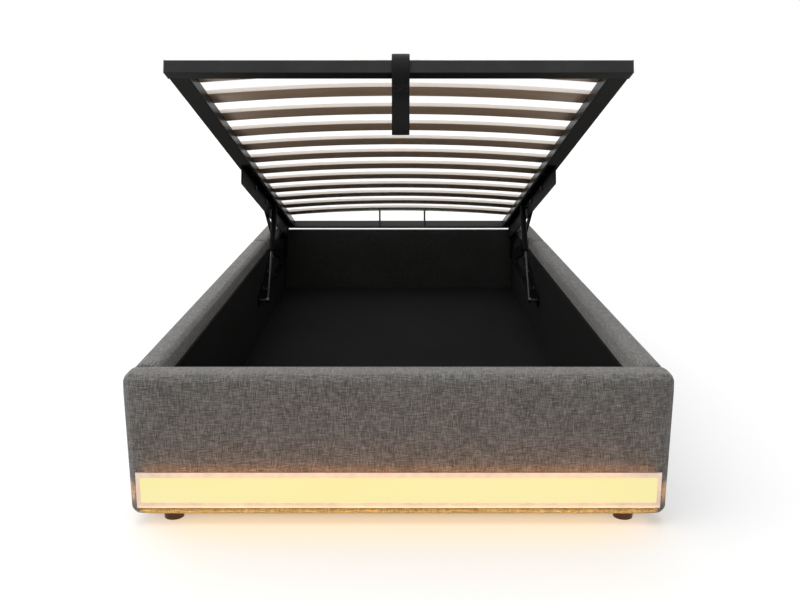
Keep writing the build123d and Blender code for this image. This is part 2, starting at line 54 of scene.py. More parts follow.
def putMesh(name, mesh, material=None):
    item = bpy.data.objects.new(name, mesh)
    scene.collection.objects.link(item)
    if material:
        mesh.materials.clear()
        mesh.materials.append(material)
    return item


def meshFrom(name, points, faces, material=None):
    mesh = bpy.data.meshes.new(name)
    mesh.from_pydata([tuple(p) for p in points], [], faces)
    mesh.update()
    return putMesh(name, mesh, material)


def smoothShade(item, angle=40):
    for face in item.data.polygons:
        face.use_smooth = True
    item.data.set_sharp_from_angle(angle=math.radians(angle))


def applyModifiers(item):
    # turns the evaluated shape into the piece's own plain mesh
    depsgraph = bpy.context.evaluated_depsgraph_get()
    done = bpy.data.meshes.new_from_object(item.evaluated_get(depsgraph))
    item.modifiers.clear()
    old = item.data
    item.data = done
    bpy.data.meshes.remove(old)


boxFaces = [(0, 3, 2, 1), (4, 5, 6, 7), (0, 1, 5, 4), (1, 2, 6, 5), (2, 3, 7, 6), (3, 0, 4, 7)]


def boxPoints(low, high):
    x0, y0, z0 = low
    x1, y1, z1 = high
    return [(x0, y0, z0), (x1, y0, z0), (x1, y1, z0), (x0, y1, z0),
            (x0, y0, z1), (x1, y0, z1), (x1, y1, z1), (x0, y1, z1)]


def cutWith(item, low, high):
    # takes a box out of a piece, low and high in metres
    box = meshFrom("cutter", boxPoints(low, high), boxFaces)
    cut = item.modifiers.new("cut", "BOOLEAN")
    cut.operation = "DIFFERENCE"
    cut.solver = "EXACT"
    cut.object = box
    applyModifiers(item)
    mesh = box.data
    bpy.data.objects.remove(box)
    bpy.data.meshes.remove(mesh)


def fabricUV(item):
    # lays the cloth on in metres, by the side that each face looks to
    layer = item.data.uv_layers.new(name="cloth")
    for face in item.data.polygons:
        n = face.normal
        for loop in face.loop_indices:
            p = item.data.vertices[item.data.loops[loop].vertex_index].co
            if abs(n.z) >= abs(n.y) and abs(n.z) >= abs(n.x):
                layer.data[loop].uv = (p.x, p.y)
            elif abs(n.y) >= abs(n.x):
                layer.data[loop].uv = (p.x, p.z)
            else:
                layer.data[loop].uv = (p.y, p.z)


# materials

def startMaterial(name):
    material = bpy.data.materials.new(name)
    material.use_nodes = True
    tree = material.node_tree
    return material, tree, tree.nodes["Principled BSDF"]


def setValues(node, values):
    for socket, value in values.items():
        node.inputs[socket].default_value = value


def feed(tree, socket, value):
    # a number, a name or a colour becomes the socket's own value, another socket is joined to it
    if isinstance(value, tuple):
        socket.default_value = (*value, 1)
    elif isinstance(value, (int, float, str)):
        socket.default_value = value
    else:
        tree.links.new(value, socket)


def objectPlace(tree):
    return tree.nodes.new("ShaderNodeTexCoord").outputs["Object"]


def axes(tree, vector):
    item = tree.nodes.new("ShaderNodeSeparateXYZ")
    tree.links.new(vector, item.inputs[0])
    return item.outputs


def ramp(tree, value, stops):
    # a colour by the value; each stop has its place and its colour
    item = tree.nodes.new("ShaderNodeValToRGB")
    elements = item.color_ramp.elements
    while len(elements) < len(stops):
        elements.new(0.5)
    for element, (place, colour) in zip(elements, stops):
        element.position = place
        element.color = (*colour, 1)
    tree.links.new(value, item.inputs["Fac"])
    return item.outputs["Color"]


def noise(tree, vector, scale, stretch=(1, 1, 1), detail=3, roughness=0.55):
    mapping = tree.nodes.new("ShaderNodeMapping")
    mapping.inputs["Scale"].default_value = stretch
    tree.links.new(vector, mapping.inputs["Vector"])
    item = tree.nodes.new("ShaderNodeTexNoise")
    setValues(item, {"Scale": scale, "Detail": detail, "Roughness": roughness})
    tree.links.new(mapping.outputs["Vector"], item.inputs["Vector"])
    return item.outputs["Fac"]


def cells(tree, vector, scale):
    item = tree.nodes.new("ShaderNodeTexVoronoi")
    item.inputs["Scale"].default_value = scale
    tree.links.new(vector, item.inputs["Vector"])
    return item.outputs["Distance"]


def combine(tree, operation, a, b=0):
    item = tree.nodes.new("ShaderNodeMath")
    item.operation = operation
    feed(tree, item.inputs[0], a)
    feed(tree, item.inputs[1], b)
    return item.outputs[0]


def plus(tree, a, b):
    return combine(tree, "ADD", a, b)


def times(tree, a, b):
    return combine(tree, "MULTIPLY", a, b)


def wave(tree, value, turn):
    return combine(tree, "SINE", times(tree, value, turn))


def fade(tree, value, start, end, first, last):
    # smooth change from first to last as the value goes from start to end
    item = tree.nodes.new("ShaderNodeMapRange")
    item.interpolation_type = "SMOOTHSTEP"
    setValues(item, {"From Min": start, "From Max": end, "To Min": first, "To Max": last})
    tree.links.new(value, item.inputs["Value"])
    return item.outputs["Result"]


def blendColour(tree, share, first, second):
    # first where the share is 0, second where it is 1
    item = tree.nodes.new("ShaderNodeMix")
    item.data_type = "RGBA"
    tree.links.new(share, item.inputs["Factor"])
    feed(tree, item.inputs[6], first)
    feed(tree, item.inputs[7], second)
    return item.outputs[2]


def bump(tree, target, height, strength, distance):
    # target is the shader, or a further bump that this one lies under
    item = tree.nodes.new("ShaderNodeBump")
    item.inputs["Distance"].default_value = distance
    feed(tree, item.inputs["Strength"], strength)
    tree.links.new(height, item.inputs["Height"])
    tree.links.new(item.outputs["Normal"], target.inputs["Normal"])
    return item


linen = {"dark": (0.05, 0.0475, 0.045), "middle": (0.124, 0.118, 0.112), "light": (0.275, 0.263, 0.248),
         "thread": 0.0011, "threads": 880, "slubs": 60, "apart": 60, "fuzz": 1500, "fuzzShare": 0.4,
         "cloud": 18, "cloudShare": 0.15, "weaveShare": 0.3, "weaveDepth": 0.001, "weaveStrength": 0.5,
         "pleat": 0.007, "pleatDepth": 0.0016, "pleatUneven": 9, "roughness": 0.92, "sheen": 0.2}


def threadTone(tree, across, along):
    # slubs along each thread; every thread starts at its own place, so that they never line up
    count = times(tree, across, linen["threads"])
    own = tree.nodes.new("ShaderNodeTexWhiteNoise")
    own.noise_dimensions = "1D"
    tree.links.new(combine(tree, "FLOOR", count), own.inputs["W"])
    shift = times(tree, own.outputs["Value"], linen["apart"])
    point = tree.nodes.new("ShaderNodeCombineXYZ")
    tree.links.new(count, point.inputs["X"])
    tree.links.new(plus(tree, times(tree, along, linen["slubs"]), shift), point.inputs["Y"])
    return noise(tree, point.outputs[0], 1, detail=2)


def linenMaterial():
    material, tree, shader = startMaterial("greyLinen")
    uv = tree.nodes.new("ShaderNodeUVMap")
    uv.uv_map = "cloth"
    place = uv.outputs["UV"]
    x, y = axes(tree, place)[:2]
    cloth = plus(tree, threadTone(tree, x, y), threadTone(tree, y, x))
    fuzz = noise(tree, place, linen["fuzz"], detail=2)
    cloud = noise(tree, place, linen["cloud"])
    cloth = plus(tree, cloth, times(tree, fuzz, linen["fuzzShare"]))
    cloth = plus(tree, cloth, times(tree, cloud, linen["cloudShare"]))
    cloth = combine(tree, "DIVIDE", cloth, 2 + linen["fuzzShare"] + linen["cloudShare"])
    stops = [(0.41, linen["dark"]), (0.5, linen["middle"]), (0.6, linen["light"])]
    tree.links.new(ramp(tree, cloth, stops), shader.inputs["Base Color"])

    # plain weave: warp and weft rise and fall in turn
    turn = math.pi / linen["thread"]
    weave = times(tree, wave(tree, x, turn), wave(tree, y, turn))
    height = plus(tree, times(tree, weave, linen["weaveShare"]), cloth)

    # small pleats where a rail's cloth is drawn in at its end
    gather = tree.nodes.new("ShaderNodeAttribute")
    gather.attribute_name = "gather"
    uneven = times(tree, noise(tree, place, 60, detail=1), linen["pleatUneven"])
    run = times(tree, x, 2 * math.pi / linen["pleat"])
    fold = combine(tree, "SINE", plus(tree, run, uneven))
    pleats = bump(tree, shader, fold, gather.outputs["Fac"], linen["pleatDepth"])
    bump(tree, pleats, height, linen["weaveStrength"], linen["weaveDepth"])
    setValues(shader, {"Roughness": linen["roughness"], "Sheen Weight": linen["sheen"],
                       "Sheen Roughness": 0.5, "Specular IOR Level": 0.2})
    return material


# one black powder coat in a tone for each group of parts; the linkage's much darker tone is painted shade,
# where the plates, links and gas cylinders sit in shade
powder = {"smooth": 0.4, "dull": 0.52, "peel": 900, "peelDepth": 0.0002, "patch": 14,
          "underFrom": -0.9, "underTo": -0.6, "sideFrom": 0.7, "sideTo": 0.95,
          "tube": {"colour": (0.036, 0.036, 0.0363), "worn": (0.049, 0.049, 0.0492), "gloss": 0.05,
                   "under": (0.009, 0.0083, 0.0076), "underDull": 0.6},
          "rearTube": {"colour": (0.018, 0.018, 0.0183), "worn": (0.03, 0.03, 0.0302), "gloss": 0.6},
          "sideTube": {"colour": (0.015, 0.0148, 0.0144), "worn": (0.024, 0.0236, 0.023), "gloss": 0.02,
                       "under": (0.034, 0.0332, 0.032), "underDull": 0.9,
                       "side": (0.03, 0.0295, 0.0285), "sideDull": 0.24},
          "linkage": {"colour": (0.0045, 0.0045, 0.0047), "worn": (0.0085, 0.0085, 0.0088), "gloss": 0.015}}


def powderMaterial(name, coat):
    material, tree, shader = startMaterial(name)
    coords = tree.nodes.new("ShaderNodeTexCoord")
    peel = noise(tree, coords.outputs["Object"], powder["peel"], detail=2)
    patch = noise(tree, coords.outputs["Object"], powder["patch"], detail=4)
    tone = ramp(tree, patch, [(0.35, coat["colour"]), (0.8, coat["worn"])])
    dull = ramp(tree, patch, [(0.3, (powder["smooth"],) * 3), (0.7, (powder["dull"],) * 3)])
    facing = axes(tree, coords.outputs["Normal"])
    if "under" in coat:  # painted light and shade by facing: the underside takes its own tone, darker on the front tube and lighter on the side tubes, and is duller
        paintedUnderShare = fade(tree, facing["Z"], powder["underFrom"], powder["underTo"], 1, 0)
        tone = blendColour(tree, paintedUnderShare, tone, coat["under"])
        dull = blendColour(tree, paintedUnderShare, dull, (coat["underDull"],) * 3)
    if "side" in coat:  # painted highlight: the side faces take a lighter tone that stands in for the slats' reflection, and are smoother
        paintedSideShare = fade(tree, combine(tree, "ABSOLUTE", facing["X"]),
                      powder["sideFrom"], powder["sideTo"], 0, 1)
        tone = blendColour(tree, paintedSideShare, tone, coat["side"])
        dull = blendColour(tree, paintedSideShare, dull, (coat["sideDull"],) * 3)
    tree.links.new(tone, shader.inputs["Base Color"])
    tree.links.new(dull, shader.inputs["Roughness"])
    bump(tree, shader, peel, 0.2, powder["peelDepth"])
    shader.inputs["Specular IOR Level"].default_value = coat["gloss"]
    return material


plastic = {"grain": 1400, "grainDepth": 0.0002, "patch": 40, "lift": 1.25, "least": 0.004}


def plasticMaterial(name, colour, roughness):
    material, tree, shader = startMaterial(name)
    place = objectPlace(tree)
    grain = noise(tree, place, plastic["grain"], detail=2)
    patch = noise(tree, place, plastic["patch"])
    lighter = tuple(min(1, c * plastic["lift"] + plastic["least"]) for c in colour)
    tree.links.new(ramp(tree, patch, [(0.35, colour), (0.75, lighter)]), shader.inputs["Base Color"])
    bump(tree, shader, grain, 0.2, plastic["grainDepth"])
    shader.inputs["Roughness"].default_value = roughness
    return material


metal = {"smooth": 0.7, "rough": 1.3, "dark": 0.85, "lines": 0.08, "lineDepth": 0.0002}


def metalMaterial(name, colour, roughness, brushed):
    # the brushed lines make the metal darker and smoother
    material, tree, shader = startMaterial(name)
    lines = noise(tree, objectPlace(tree), 1, brushed)
    rough = [(0.3, (roughness * metal["smooth"],) * 3), (0.7, (roughness * metal["rough"],) * 3)]
    tree.links.new(ramp(tree, lines, rough), shader.inputs["Roughness"])
    tone = [(0.3, tuple(c * metal["dark"] for c in colour)), (0.7, colour)]
    tree.links.new(ramp(tree, lines, tone), shader.inputs["Base Color"])
    shader.inputs["Metallic"].default_value = 1
    bump(tree, shader, lines, metal["lines"], metal["lineDepth"])
    return material


# the head lining's tone is a lighter copy of the black lining: painted light on the back wall, which faces
# the front light
lining = {"side": 0.0075, "floor": 0.0062, "head": 0.034, "hollow": 0.32, "fibres": 260, "cloud": 3.5,
          "cloudShare": 0.6, "dimples": 420, "depth": 0.0006}


def liningMaterial(name, tone):
    # black non-woven lining: pressed dimples and loose fibres
    material, tree, shader = startMaterial(name)
    place = objectPlace(tree)
    fibres = noise(tree, place, lining["fibres"], detail=5, roughness=0.7)
    cloud = noise(tree, place, lining["cloud"])
    mottle = plus(tree, fibres, times(tree, cloud, lining["cloudShare"]))
    stops = [(0.5, (tone * lining["hollow"],) * 3), (1.0, (tone, tone, tone * 0.96))]
    tree.links.new(ramp(tree, mottle, stops), shader.inputs["Base Color"])
    height = plus(tree, fibres, cells(tree, place, lining["dimples"]))
    bump(tree, shader, height, 0.5, lining["depth"])
    setValues(shader, {"Roughness": 0.9, "Specular IOR Level": 0.08})
    return material


board = {"dark": (0.28, 0.19, 0.11), "light": (0.52, 0.39, 0.25), "chips": 260, "chipShare": 0.5,
         "cloud": 90, "depth": 0.0006}


def boardMaterial():
    material, tree, shader = startMaterial("particleBoard")
    place = objectPlace(tree)
    chips = times(tree, cells(tree, place, board["chips"]), board["chipShare"])
    tone = plus(tree, noise(tree, place, board["cloud"], detail=4), chips)
    stops = [(0.4, board["dark"]), (0.9, board["light"])]
    tree.links.new(ramp(tree, tone, stops), shader.inputs["Base Color"])
    bump(tree, shader, tone, 0.3, board["depth"])
    shader.inputs["Roughness"].default_value = 0.8
    return material


slat = {"width": 70 * mm, "thickness": 10 * mm, "rise": 19 * mm, "length": 877 * mm, "edge": 1.6 * mm,
        "steps": 40, "edgeSteps": 4}
slatWood = {"face": (0.56, 0.39, 0.27), "faceDark": (0.36, 0.24, 0.155), "edge": (0.97, 0.89, 0.81),
            "glue": (0.88, 0.78, 0.68), "plies": 6, "grain": (9, 160, 60), "pores": (60, 1500, 900),
            "poreShare": 0.25, "faceFrom": 0.47, "grainDepth": 0.0004, "lacquer": 0.25}


def slatMaterial():
    material, tree, shader = startMaterial("bentPly")
    place = objectPlace(tree)
    grain = noise(tree, place, 1, slatWood["grain"], 4, 0.6)
    pores = noise(tree, place, 1, slatWood["pores"], 2)
    tone = plus(tree, times(tree, grain, 1 - slatWood["poreShare"]),
                times(tree, pores, slatWood["poreShare"]))
    face = ramp(tree, tone, [(0.3, slatWood["faceDark"]), (0.7, slatWood["face"])])

    # the edge shows the plies, the faces the grain
    ply = tree.nodes.new("ShaderNodeAttribute")
    ply.attribute_name = "plyHeight"
    lines = wave(tree, ply.outputs["Fac"], slatWood["plies"] * 2 * math.pi / slat["thickness"])
    share = plus(tree, times(tree, lines, 0.5), 0.5)
    edge = ramp(tree, share, [(0.0, slatWood["glue"]), (0.25, slatWood["edge"])])
    depth = combine(tree, "ABSOLUTE", ply.outputs["Fac"])
    onFace = combine(tree, "GREATER_THAN", depth, slat["thickness"] * slatWood["faceFrom"])
    tree.links.new(blendColour(tree, onFace, edge, face), shader.inputs["Base Color"])
    bump(tree, shader, tone, 0.15, slatWood["grainDepth"])
    setValues(shader, {"Roughness": 0.42, "Coat Weight": slatWood["lacquer"], "Coat Roughness": 0.3})
    return material


webbing = {"dark": (0.0025, 0.0025, 0.0027), "light": (0.010, 0.010, 0.0107), "rib": 0.0016, "row": 0.0035,
           "fuzz": 1200, "depth": 0.0005, "roughness": 0.6, "sheen": 0.015}


def webbingMaterial():
    material, tree, shader = startMaterial("blackWebbing")
    uv = tree.nodes.new("ShaderNodeUVMap")
    uv.uv_map = "cloth"
    x, y = axes(tree, uv.outputs["UV"])[:2]
    ribs = wave(tree, y, 2 * math.pi / webbing["rib"])
    rows = wave(tree, x, 2 * math.pi / webbing["row"])
    fuzz = noise(tree, uv.outputs["UV"], webbing["fuzz"])
    height = plus(tree, times(tree, ribs, plus(tree, rows, 1.6)), fuzz)
    tone = plus(tree, times(tree, ribs, 0.3), fuzz)
    stops = [(0.2, webbing["dark"]), (0.9, webbing["light"])]
    tree.links.new(ramp(tree, tone, stops), shader.inputs["Base Color"])
    bump(tree, shader, height, 0.5, webbing["depth"])
    setValues(shader, {"Roughness": webbing["roughness"], "Specular IOR Level": 0.15,
                       "Sheen Weight": webbing["sheen"]})
    return material


glow = {"strength": 0.84, "panel": (0.99, 0.905, 0.41), "panelBright": (1.0, 0.915, 0.46),
        "panelOff": (0.09, 0.07, 0.03), "bezel": (0.80, 0.665, 0.565), "through": (0.62, 0.44, 0.17),
        "throughStrength": 0.17, "endShare": 0.15, "endFrom": 0.36, "endTo": 0.49,
        "onCloth": (1.0, 0.36, 0.04), "onHem": (1.0, 0.50, 0.04), "onEnds": (1.0, 0.52, 0.2),
        "onFloor": (1.0, 0.60, 0.12), "underBase": (1.0, 0.72, 0.42)}


def diffuserMaterial():
    # opal plastic, lit from behind, a little cloudy
    material, tree, shader = startMaterial("opalDiffuser")
    cloud = noise(tree, objectPlace(tree), 1, (2.5, 1, 14), 2)
    stops = [(0.3, glow["panel"]), (0.7, glow["panelBright"])]
    tree.links.new(ramp(tree, cloud, stops), shader.inputs["Emission Color"])
    setValues(shader, {"Base Color": (*glow["panelOff"], 1), "Emission Strength": glow["strength"],
                       "Roughness": 0.5})
    return material


def bezelMaterial():
    # pale pink moulding with a painted glow: its emission stands in for a little of the panel's light coming
    # through, less at its ends
    material = plasticMaterial("pinkBezel", glow["bezel"], 0.45)
    tree = material.node_tree
    shader = tree.nodes["Principled BSDF"]
    shader.inputs["Emission Color"].default_value = (*glow["through"], 1)
    away = combine(tree, "ABSOLUTE", axes(tree, objectPlace(tree))["X"])
    strength = glow["throughStrength"]
    tree.links.new(fade(tree, away, glow["endFrom"], glow["endTo"], strength, strength * glow["endShare"]),
              shader.inputs["Emission Strength"])
    return material


steel = (0.045, 0.045, 0.047)
materials = {
    "linen": linenMaterial(),
    "powder": powderMaterial("blackPowderCoat", powder["tube"]),
    "glossPowder": powderMaterial("glossPowderCoat", powder["rearTube"]),
    "dullPowder": powderMaterial("dullPowderCoat", powder["sideTube"]),
    "linkagePowder": powderMaterial("linkagePowderCoat", powder["linkage"]),
    "sideLining": liningMaterial("blackLining", lining["side"]),
    "floorLining": liningMaterial("blackFloorCloth", lining["floor"]),
    "headLining": liningMaterial("paintedLitHeadLining", lining["head"]),
    "board": boardMaterial(),
    "slat": slatMaterial(),
    "webbing": webbingMaterial(),
    "diffuser": diffuserMaterial(),
    "thread": plasticMaterial("blackThread", (0.014, 0.014, 0.015), 0.5),
    "bezel": bezelMaterial(),
    "blackPlastic": plasticMaterial("blackPlastic", (0.012, 0.012, 0.013), 0.45),
    "brownPlastic": plasticMaterial("brownPlastic", (0.05, 0.0135, 0.0023), 0.4),
    "zinc": metalMaterial("zincPlate", (0.55, 0.55, 0.54), 0.35, (300, 300, 300)),
    "blackSteel": metalMaterial("blackenedSteel", steel, 0.4, (300, 300, 300)),
    "rod": metalMaterial("pistonRod", steel, 0.3, (700, 30, 30)),
    "strip": plasticMaterial("stripBoard", (0.8, 0.78, 0.7), 0.5),
}
print("materials made:", len(materials))


# CAD nodes that keep their shape and take a finish

finishes = {
    "powder": ["front_tube", "retainer_hoop"],
    "glossPowder": ["rear_tube"],
    "dullPowder": ["left_side_tube", "right_side_tube"],
    "linkagePowder": ["left_upper_plate", "right_upper_plate", "left_fixed_plate", "right_fixed_plate",
                      "left_front_link", "right_front_link", "left_rear_link", "right_rear_link",
                      "left_gas_cylinder", "right_gas_cylinder"],
    "sideLining": ["left_liner", "right_liner", "footboard_liner"],
    "headLining": ["head_liner"],
    "floorLining": ["floor_panel_front", "floor_panel_rear"],
    "board": ["footboard_board", "head_panel_board", "floor_bearers", "left_rail_board_front",
              "left_rail_board_rear", "right_rail_board_front", "right_rail_board_rear"],
    "blackPlastic": ["tube_end_caps", "slat_holders"],
    "brownPlastic": ["feet"],
    "zinc": ["corner_brackets", "frame_bolts"],
    "blackSteel": ["plate_pins_and_bolts", "upper_plate_bolts"],
    "rod": ["left_gas_rod", "right_gas_rod"],
    "bezel": ["light_bezel"],
    "diffuser": ["light_diffuser"],
    "strip": ["light_strip"],
}
for finish, names in finishes.items():
    for name in names:
        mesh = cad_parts[name].data
        mesh.materials.clear()
        mesh.materials.append(materials[finish])


# padded covers: rounded blocks with a soft crown, hollow over their boards

padding = {"footRadius": 12.5 * mm, "railRadius": 10 * mm, "headRadius": 9 * mm,
           "footCorner": 27 * mm, "footTop": 19 * mm, "railInner": 20 * mm, "railOuter": 14 * mm,
           "bulgeLow": 4 * mm, "bulgeHigh": 7.5 * mm, "flatReach": 60 * mm, "hemCrown": 3.5 * mm,
           "outerCrown": 2.6 * mm, "sideCrown": 3.8 * mm, "innerCrown": 0.8 * mm, "topCrown": 1.5 * mm,
           "endCrown": 0.2 * mm, "rearCrown": 0.2 * mm, "crownReach": 0.06, "crownPower": 0.6,
           "longSide": 0.1, "waves": (23, 19, 29), "waveShare": 0.5, "edgeShare": 0.55,
           "splitDip": 5 * mm, "splitReach": 26 * mm, "splitGap": 1.2 * mm, "dipDepth": 0.03,
           "dipPinch": 0.06, "gatherReach": 0.05, "endCloth": 2.5 * mm, "edgeCells": 6, "cell": 22 * mm,
           "play": 0.4 * mm, "past": 0.02, "overlap": 0.002}  # a cut goes past the cloth


def cellStops(length, radius, cell):
    # grid lines along one side of a block: close together round the edges
    stops = []
    for step in range(padding["edgeCells"] + 1):
        stops.append(radius * step / padding["edgeCells"])
    inner = length - 2 * radius
    count = max(1, round(inner / cell))
    for step in range(1, count):
        stops.append(radius + inner * step / count)
    for step in range(padding["edgeCells"], -1, -1):
        stops.append(length - radius * step / padding["edgeCells"])
    return stops


def roundedBlock(name, low, high, radius, crowns, seed):
    # a closed block on a grid, its edges rounded and its faces a little full;
    # crowns has the fullness of the low and the high side on each axis
    low, high = Vector(low), Vector(high)
    size = high - low
    radius = min(radius, min(size) * 0.45)
    stops = [cellStops(size[axis], radius, padding["cell"]) for axis in range(3)]
    build = bmesh.new()
    found = {}

    def corner(i, j, k):
        key = (i, j, k)
        if key not in found:
            p = Vector((stops[0][i], stops[1][j], stops[2][k]))
            core = Vector([min(max(p[axis], radius), size[axis] - radius) for axis in range(3)])
            out = (p - core).normalized()
            p = core + out * radius
            full = 1.0
            for axis in range(3):
                if size[axis] > padding["longSide"]:
                    inset = min(p[axis], size[axis] - p[axis])
                    full *= min(1, max(0, inset) / padding["crownReach"]) ** padding["crownPower"]
            a, b, c = padding["waves"]
            ripple = math.sin(p.x * a + seed) * math.sin(p.y * b + seed * 2) * math.sin(p.z * c + seed)
            full *= 1 + padding["waveShare"] * ripple
            full = padding["edgeShare"] + (1 - padding["edgeShare"]) * full
            for axis in range(3):
                side = 1 if out[axis] > 0 else 0
                p[axis] += out[axis] * abs(out[axis]) * crowns[axis][side] * full
            found[key] = build.verts.new(low + p)
        return found[key]

    counts = [len(line) - 1 for line in stops]
    for axis in range(3):
        a, b = (axis + 1) % 3, (axis + 2) % 3
        for end in (0, counts[axis]):
            for i in range(counts[a]):
                for j in range(counts[b]):
                    ring = []
                    for di, dj in ((0, 0), (1, 0), (1, 1), (0, 1)):
                        index = [0, 0, 0]
                        index[axis], index[a], index[b] = end, i + di, j + dj
                        ring.append(corner(*index))
                    if end == 0:
                        ring.reverse()
                    build.faces.new(ring)
    mesh = bpy.data.meshes.new(name)
    build.to_mesh(mesh)
    build.free()
    return putMesh(name, mesh, materials["linen"])


def fullerEdge(cover, low, high, edge, radius, old):
    # gives one edge of a block a larger rounding; edge has two axes, each with its side, 0 low or 1 high
    (a, sideA), (b, sideB) = edge
    core = radius - old
    for vertex in cover.data.vertices:
        p = vertex.co
        inA = high[a] - p[a] if sideA else p[a] - low[a]
        inB = high[b] - p[b] if sideB else p[b] - low[b]
        if inA >= radius or inB >= radius:
            continue
        reachA, reachB = radius - inA, radius - inB
        size = math.hypot(reachA, reachB)
        if size < 1e-9:
            continue
        c, s = reachA / size, reachB / size
        before = radius / max(c, s)
        if before * min(c, s) > core:
            along = core * (c + s)
            before = along + math.sqrt(max(0, along * along - 2 * core * core + old * old))
        shrink = radius / before
        p[a] += (reachA - reachA * shrink) * (-1 if sideA else 1)
        p[b] += (reachB - reachB * shrink) * (-1 if sideB else 1)


def dipAtSplit(cover, end):
    # the cloth rolls down into the split between a rail's two lengths
    middle = sum(v.co.x for v in cover.data.vertices) / len(cover.data.vertices)
    top = max(v.co.z for v in cover.data.vertices)
    for vertex in cover.data.vertices:
        away = abs(vertex.co.y - end)
        if away < padding["splitReach"]:
            share = (1 - away / padding["splitReach"]) ** 2
            if vertex.co.z > top - padding["dipDepth"]:
                vertex.co.z -= padding["splitDip"] * share
            vertex.co.x += (middle - vertex.co.x) * padding["dipPinch"] * share


def markGathers(cover, end):
    # strongest at the end that the cloth is drawn to, fading over the reach
    layer = cover.data.attributes.new("gather", "FLOAT", "POINT")
    for vertex in cover.data.vertices:
        away = abs(vertex.co.y - end)
        layer.data[vertex.index].value = max(0.0, 1 - away / padding["gatherReach"])


def finishCover(cover, node):
    fabricUV(cover)
    smoothShade(cover, 35)
    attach(cover, "base")
    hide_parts(node)


def makeFootboardCover():
    low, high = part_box("footboard_cover")
    boardLow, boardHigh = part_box("footboard_board")
    linerLow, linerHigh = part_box("footboard_liner")
    bezelLow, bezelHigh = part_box("light_bezel")
    outer, inner, top = padding["outerCrown"], padding["innerCrown"], padding["topCrown"]
    side = padding["sideCrown"]
    cover = roundedBlock("footboardPadding", low, high, padding["footRadius"],
                         ((side, side), (outer, inner), (padding["hemCrown"], top)), 1.0)
    for edge, radius in ((((0, 0), (1, 0)), "footCorner"), (((0, 1), (1, 0)), "footCorner"),
                         (((1, 0), (2, 1)), "footTop"), (((0, 0), (2, 1)), "footTop"),
                         (((0, 1), (2, 1)), "footTop")):
        fullerEdge(cover, low, high, edge, padding[radius], padding["footRadius"])
    for vertex in cover.data.vertices:  # flat round the light, fuller above it
        if vertex.co.y < low[1]:
            share = min(1, max(0, (vertex.co.z - bezelHigh[2]) / padding["flatReach"]))
            vertex.co.y = low[1] + (vertex.co.y - low[1]) * share
    for vertex in cover.data.vertices:  # the ends stand fuller than the board, most at the top
        share = min(1, max(0, (vertex.co.z - low[2]) / (high[2] - low[2])))
        bulge = padding["bulgeLow"] + (padding["bulgeHigh"] - padding["bulgeLow"]) * share
        vertex.co.x *= 1 + bulge / high[0]
    play, past = padding["play"], padding["past"]
    cutWith(cover, (boardLow[0] - play, boardLow[1] - play, low[2] - past),
            (boardHigh[0] + play, boardHigh[1] + play, boardHigh[2] + play))
    cutWith(cover, (linerLow[0] - play, boardHigh[1] - play, low[2] - past),
            (linerHigh[0] + play, high[1] + past, linerHigh[2] + play))
    cutWith(cover, (bezelLow[0] - play, low[1] - past, bezelLow[2] - play),
            (bezelHigh[0] + play, boardLow[1] + past, bezelHigh[2] + play))
    finishCover(cover, "footboard_cover")


def makeRailCover(side, part, seed):
    node = f"{side}_rail_cover_{part}"
    low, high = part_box(node)
    boardLow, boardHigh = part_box(f"{side}_rail_board_{part}")
    linerLow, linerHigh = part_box(f"{side}_liner")
    sides = (padding["innerCrown"], padding["outerCrown"])
    ends = (padding["endCrown"], padding["endCrown"])
    top = padding["topCrown"] if part == "front" else padding["rearCrown"]  # the front length is fuller
    if side == "left":
        sides = tuple(reversed(sides))
    play, past = padding["play"], padding["past"]
    low, high = list(low), list(high)
    if part == "front":
        high[1] -= padding["splitGap"]
        split, cutEnd = high[1], high[1] + past
    else:
        low[1] += padding["splitGap"]
        split, cutEnd = low[1], boardHigh[1] + play
        high[1] += padding["endCloth"]  # the cloth is turned in over the board's end
    cover = roundedBlock(f"{side}Rail{part.capitalize()}Padding", low, high, padding["railRadius"],
                         (sides, ends, (top, top)), seed)
    inner = 1 if side == "left" else 0
    fullerEdge(cover, low, high, ((0, inner), (2, 1)), padding["railInner"], padding["railRadius"])
    fullerEdge(cover, low, high, ((0, 1 - inner), (2, 1)), padding["railOuter"], padding["railRadius"])
    dipAtSplit(cover, split)
    cutWith(cover, (boardLow[0] - play, low[1] - past, low[2] - past),
            (boardHigh[0] + play, cutEnd, boardHigh[2] + play))
    # below the lining's top edge the inner cloth gives way to it
    inward = -1 if side == "right" else 1
    face = low[0] if side == "right" else high[0]
    edge = boardLow[0] - play if side == "right" else boardHigh[0] + play
    span = sorted((face + inward * past, edge - inward * padding["overlap"]))
    cutWith(cover, (span[0], low[1] - past, low[2] - past), (span[1], cutEnd, linerHigh[2] + play))
    if part == "front":
        markGathers(cover, low[1])
    finishCover(cover, node)


def makeHeadCover():
    low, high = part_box("head_panel_cover")
    boardLow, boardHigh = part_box("head_panel_board")
    end, inner = padding["endCrown"], padding["innerCrown"]
    cover = roundedBlock("headPanelPadding", low, high, padding["headRadius"],
                         ((end, end), (end, inner), (inner, inner)), 5.0)
    play, past = padding["play"], padding["past"]
    cutWith(cover, (low[0] - past, low[1] - past, low[2] - past),
            (high[0] + past, boardHigh[1] + play, boardHigh[2] + play))
    finishCover(cover, "head_panel_cover")


makeFootboardCover()
for seed, side in enumerate(("left", "right")):
    makeRailCover(side, "front", 2.0 + seed)
    makeRailCover(side, "rear", 4.0 + seed)
makeHeadCover()
print("padded covers made")


# slats: a bowed strip with rounded edges, repeated along the frame by geometry nodes

